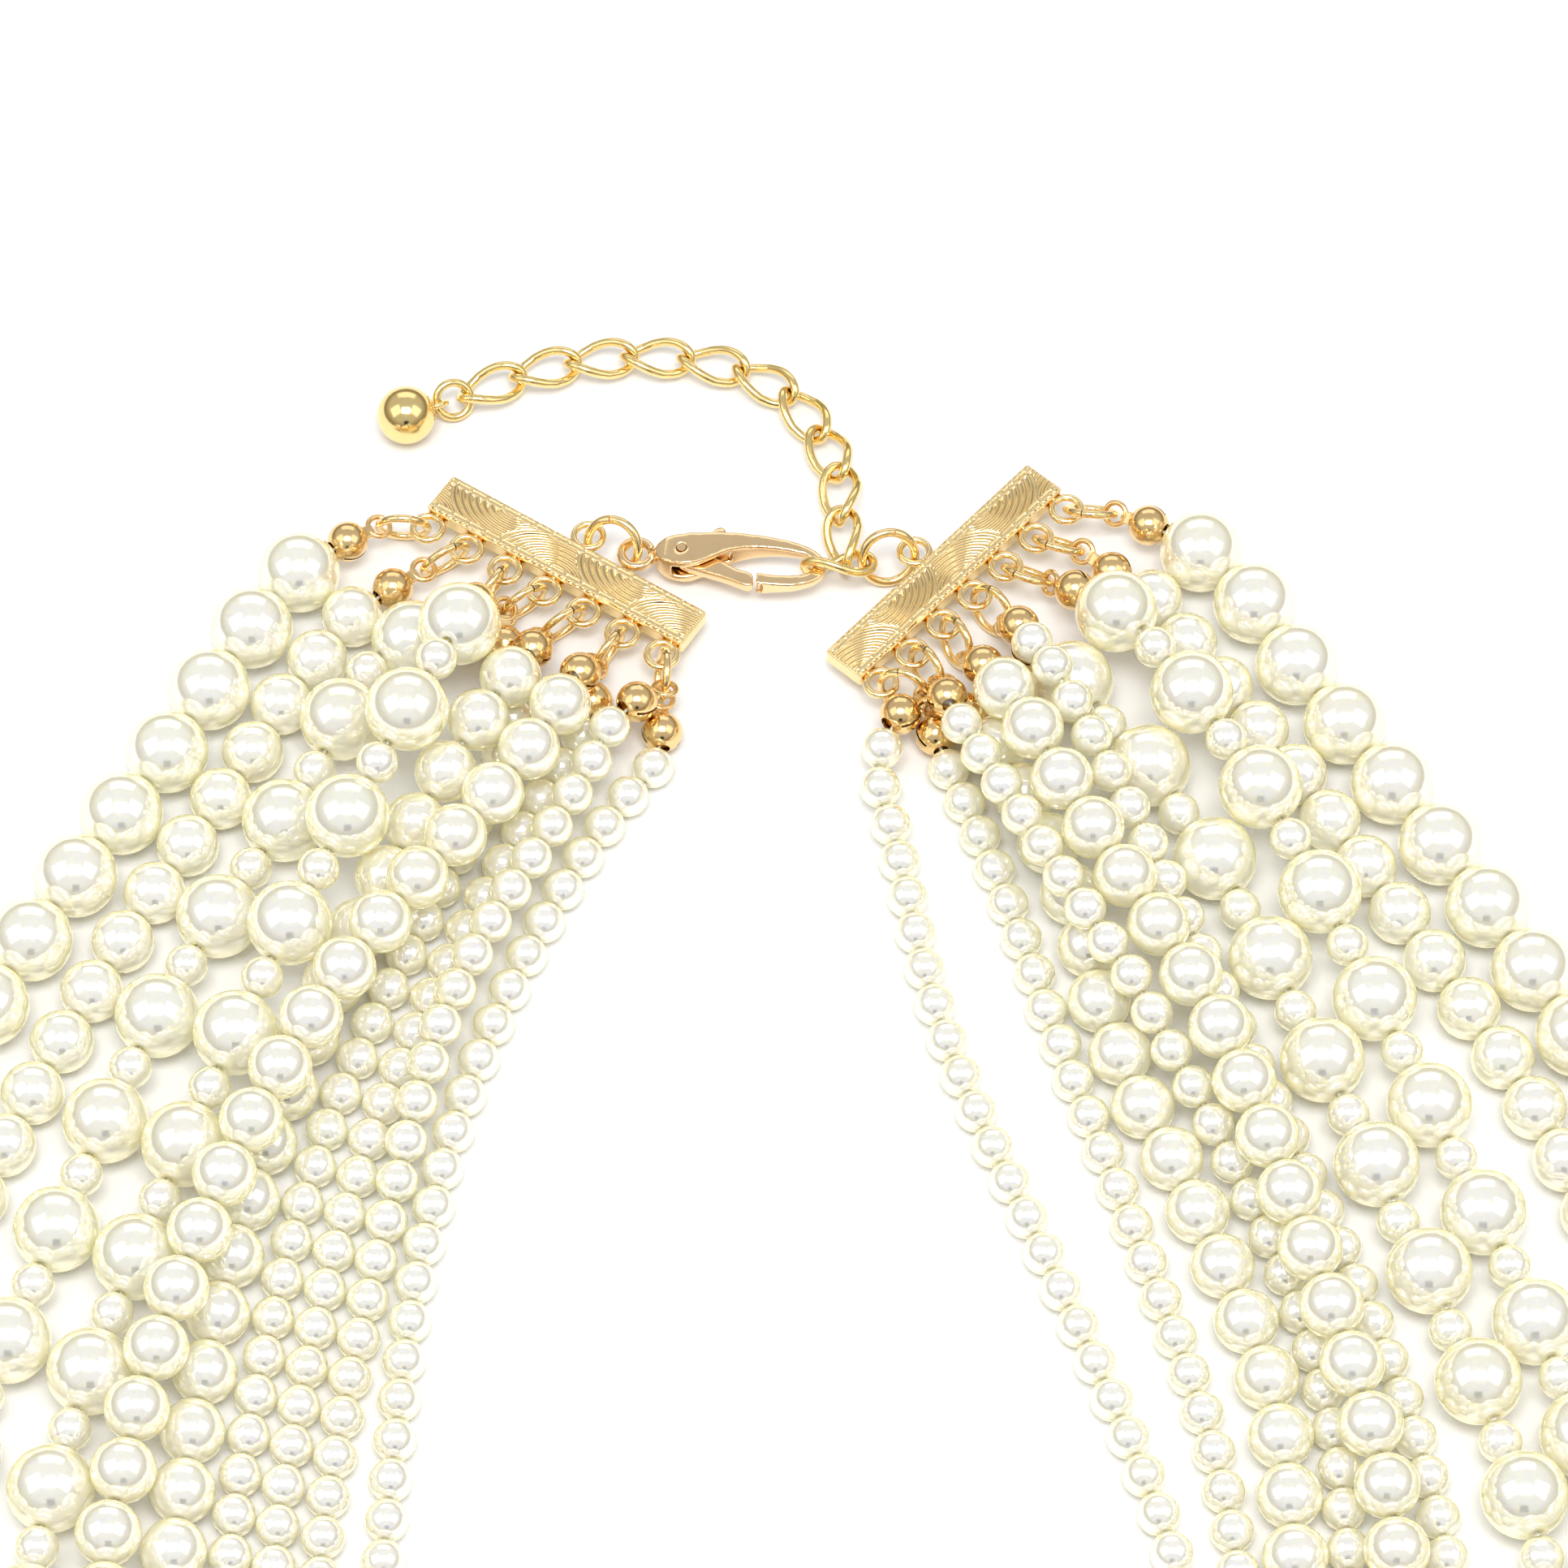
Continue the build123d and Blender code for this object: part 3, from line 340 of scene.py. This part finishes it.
def relief_plate(name, node, material):
    """Closed thin plate with the engraved pattern, sunk a little into the flat face of a bar."""
    co = np.array([v.co for v in node.data.vertices])
    top = co[:, 2].max()
    face = co[co[:, 2] > top - 1e-6]
    middle = (face.max(0) + face.min(0)) / 2
    spread = np.linalg.svd(face[:, :2] - face[:, :2].mean(0), full_matrices=False)[2]
    along, across = spread[0], spread[1]
    away = middle[:2] @ across
    if (co[:, :2] @ across - away).max() < -(co[:, :2] @ across - away).min():
        across = -across
    u_face = (face[:, :2]) @ along
    v_face = (face[:, :2]) @ across
    centre = along * (u_face.max() + u_face.min()) / 2 + across * (v_face.max() + v_face.min()) / 2
    half_length = (u_face.max() - u_face.min()) / 2 + RELIEF_MARGIN / 2
    half_width = (v_face.max() - v_face.min()) / 2 + RELIEF_MARGIN / 2
    count_u = int(2 * half_length / RELIEF_CELL)
    count_v = int(2 * half_width / RELIEF_CELL)
    verts = []
    for i in range(count_u + 1):
        u = -half_length + 2 * half_length * i / count_u
        for j in range(count_v + 1):
            v = -half_width + 2 * half_width * j / count_v
            rim = min(1.0, (half_length - abs(u)) / (2 * RELIEF_CELL), (half_width - abs(v)) / (2 * RELIEF_CELL))
            spot = centre + along * u + across * -v
            verts.append((spot[0], spot[1], top - RELIEF_SINK + rim * (RELIEF_SINK + relief_height(u, v, half_width))))
    faces = []
    row = count_v + 1
    for i in range(count_u):
        for j in range(count_v):
            a = i * row + j
            faces.append((a, a + 1, a + row + 1, a + row))
    border = [j for j in range(row)]
    border += [i * row + count_v for i in range(1, count_u + 1)]
    border += [count_u * row + j for j in range(count_v - 1, -1, -1)]
    border += [i * row for i in range(count_u - 1, 0, -1)]
    first = len(verts)
    for index in border:
        x, y, z = verts[index]
        verts.append((x, y, z - RELIEF_SINK))
    total = len(border)
    for k in range(total):
        t = (k + 1) % total
        faces.append((border[t], border[k], first + k, first + t))
    faces.append(tuple(first + k for k in range(total)))
    mesh = bpy.data.meshes.new(name)
    mesh.from_pydata(verts, [], faces)
    mesh.validate()
    work = bmesh.new()
    work.from_mesh(mesh)
    bmesh.ops.recalc_face_normals(work, faces=work.faces)
    work.to_mesh(mesh)
    work.free()
    mesh.materials.append(material)
    mesh.shade_smooth()
    plate = bpy.data.objects.new(name, mesh)
    bpy.context.scene.collection.objects.link(plate)
    return plate


def soften(node):
    """Round a clasp piece all over, as a cast and tumbled piece is."""
    skin = node.modifiers.new("even_skin", "REMESH")
    skin.mode = "VOXEL"
    skin.voxel_size = CLASP_CELL
    skin.use_smooth_shade = True
    melt = node.modifiers.new("rounding", "SMOOTH")
    melt.factor = 0.5
    melt.iterations = CLASP_SMOOTHING


# ---------------------------------------------------------------- stage
def area_light(name, place, size, energy, colour=(1, 1, 1), target=AIM):
    light = bpy.data.lights.new(name, "AREA")
    light.shape = "RECTANGLE"
    light.size, light.size_y = size
    light.energy = energy
    light.color = colour
    lamp = bpy.data.objects.new(name, light)
    lamp.location = place
    lamp.rotation_euler = (target - Vector(place)).to_track_quat("-Z", "Y").to_euler()
    bpy.context.scene.collection.objects.link(lamp)
    return lamp


def card(name, place, size, shade, target=AIM):
    """A flat reflector the camera can't see, which shows only in reflections."""
    mesh = bpy.data.meshes.new(name)
    w, h = size[0] / 2, size[1] / 2
    mesh.from_pydata([(-w, -h, 0), (w, -h, 0), (w, h, 0), (-w, h, 0)], [], [(0, 1, 2, 3)])
    board = bpy.data.objects.new(name, mesh)
    board.location = place
    board.rotation_euler = (target - Vector(place)).to_track_quat("-Z", "Y").to_euler()
    material = bpy.data.materials.new(name)
    g = Graph(material)
    glow = g.add("ShaderNodeEmission", Color=(*shade, 1), Strength=1.0)
    g.link(glow, "Emission", g.add("ShaderNodeOutputMaterial"), "Surface")
    mesh.materials.append(material)
    board.visible_camera = False
    board.visible_diffuse = False
    board.visible_shadow = False
    bpy.context.scene.collection.objects.link(board)
    return board


def around(elevation, azimuth, distance):
    """Point seen from the aim at a height angle and a turn to the right of the camera, in degrees."""
    e, a = math.radians(elevation), math.radians(azimuth)
    return AIM + Vector((math.sin(a) * math.cos(e), -math.cos(a) * math.cos(e), math.sin(e))) * distance


def build_stage():
    floor_mesh = bpy.data.meshes.new("floor")
    reach = 6.0
    floor_mesh.from_pydata([(-reach, -reach, 0), (reach, -reach, 0), (reach, reach, 0), (-reach, reach, 0)],
                           [], [(0, 1, 2, 3)])
    floor_mesh.materials.append(floor_material())
    floor = bpy.data.objects.new("floor", floor_mesh)
    floor.location.z = -0.02 * MM
    bpy.context.scene.collection.objects.link(floor)
    area_light("overhead", around(74, 0, 0.95), (0.50, 0.36), 5.6)
    area_light("left_soft", around(48, -75, 1.2), (0.8, 0.8), 1.6)
    area_light("right_soft", around(48, 75, 1.2), (0.8, 0.8), 1.6)
    area_light("back_soft", around(35, 180, 1.3), (1.2, 0.6), 1.6)
    card("camera_shadow", around(24, 0, 0.66), (0.22, 0.20), (0.0, 0.0, 0.0))
    world = bpy.data.worlds.new("studio")
    bpy.context.scene.world = world
    g = Graph(world)
    out = g.add("ShaderNodeOutputWorld")
    back = g.add("ShaderNodeBackground", Strength=0.60)
    place = g.add("ShaderNodeTexCoord")
    split = g.add("ShaderNodeSeparateXYZ")
    g.link(place, "Generated", split, "Vector")
    sky = g.ramp(split, "Z", [(0.0, (0.78, 0.76, 0.73)), (1.0, (1.0, 1.0, 1.0)), (0.35, (0.97, 0.97, 0.97))])
    dusk = g.ramp(split, "Z", [(0.0, (0.42, 0.34, 0.22)), (1.0, (1.0, 1.0, 1.0)),
                               (0.20, (0.56, 0.49, 0.37)), (0.46, (0.97, 0.96, 0.94))])
    path = g.add("ShaderNodeLightPath")
    choose = g.add("ShaderNodeMix", data_type="RGBA")
    g.link(path, "Is Glossy Ray", choose, "Factor")
    g.tree.links.new(sky.outputs["Color"], choose.inputs[6])
    g.tree.links.new(dusk.outputs["Color"], choose.inputs[7])
    g.tree.links.new(choose.outputs[2], back.inputs["Color"])
    g.link(back, "Background", out, "Surface")


def build_camera():
    data = bpy.data.cameras.new("camera")
    data.sensor_width = SENSOR
    data.lens = SENSOR / 2 / math.tan(FOV / 2)
    data.clip_start = 0.01
    data.clip_end = 20
    camera = bpy.data.objects.new("camera", data)
    camera.location = AIM + Vector((0, -math.cos(CAMERA_ELEVATION), math.sin(CAMERA_ELEVATION))) * CAMERA_DISTANCE
    camera.rotation_euler = (AIM - camera.location).to_track_quat("-Z", "Y").to_euler()
    bpy.context.scene.collection.objects.link(camera)
    bpy.context.scene.camera = camera


# ---------------------------------------------------------------- put it together
pearl = pearl_material()
thread = thread_material()
# The second colour of each gold is its painted shade in corners
bar_gold = gold_material("bar_gold", (1.0, 0.80, 0.44), (0.80, 0.50, 0.17), 0.10, 0.20, 0.04)
ring_gold = gold_material("ring_gold", (1.0, 0.77, 0.40), (0.80, 0.52, 0.20), 0.08, 0.18, 0.10)
cup_gold = gold_material("cup_gold", (0.96, 0.69, 0.34), (0.70, 0.42, 0.13), 0.10, 0.22, 0.12)
clasp_gold = gold_material("clasp_gold", (1.0, 0.74, 0.43), (0.78, 0.50, 0.21), 0.07, 0.17, 0.12)
chain_gold = gold_material("chain_gold", (1.0, 0.78, 0.36), (0.80, 0.52, 0.15), 0.08, 0.20, 0.16)
steel = steel_material()

for name, node in nodes.items():
    if name.startswith("pearls"):
        strand = pearl_strand(name.replace("pearls", "strand"), node, pearl)
        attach(strand, "bib")
        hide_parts(name)
        continue
    if name.startswith("thread"):
        material = thread
    elif name.endswith("_bar"):
        material = bar_gold
    elif name.endswith("_cups"):
        material = cup_gold
    elif name == "clasp_spring":
        material = steel
    elif name.startswith("clasp"):
        material = clasp_gold
    elif "link" in name or name.startswith("tail"):
        material = chain_gold
    else:
        material = ring_gold
    node.data.materials.clear()
    node.data.materials.append(material)
    if name in ("clasp_body", "clasp_lever"):
        soften(node)
    if name.endswith("_bar"):
        plate = relief_plate(name + "_engraving", node, bar_gold)
        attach(plate, name)

build_stage()
build_camera()
bpy.context.scene.view_settings.view_transform = "Standard"
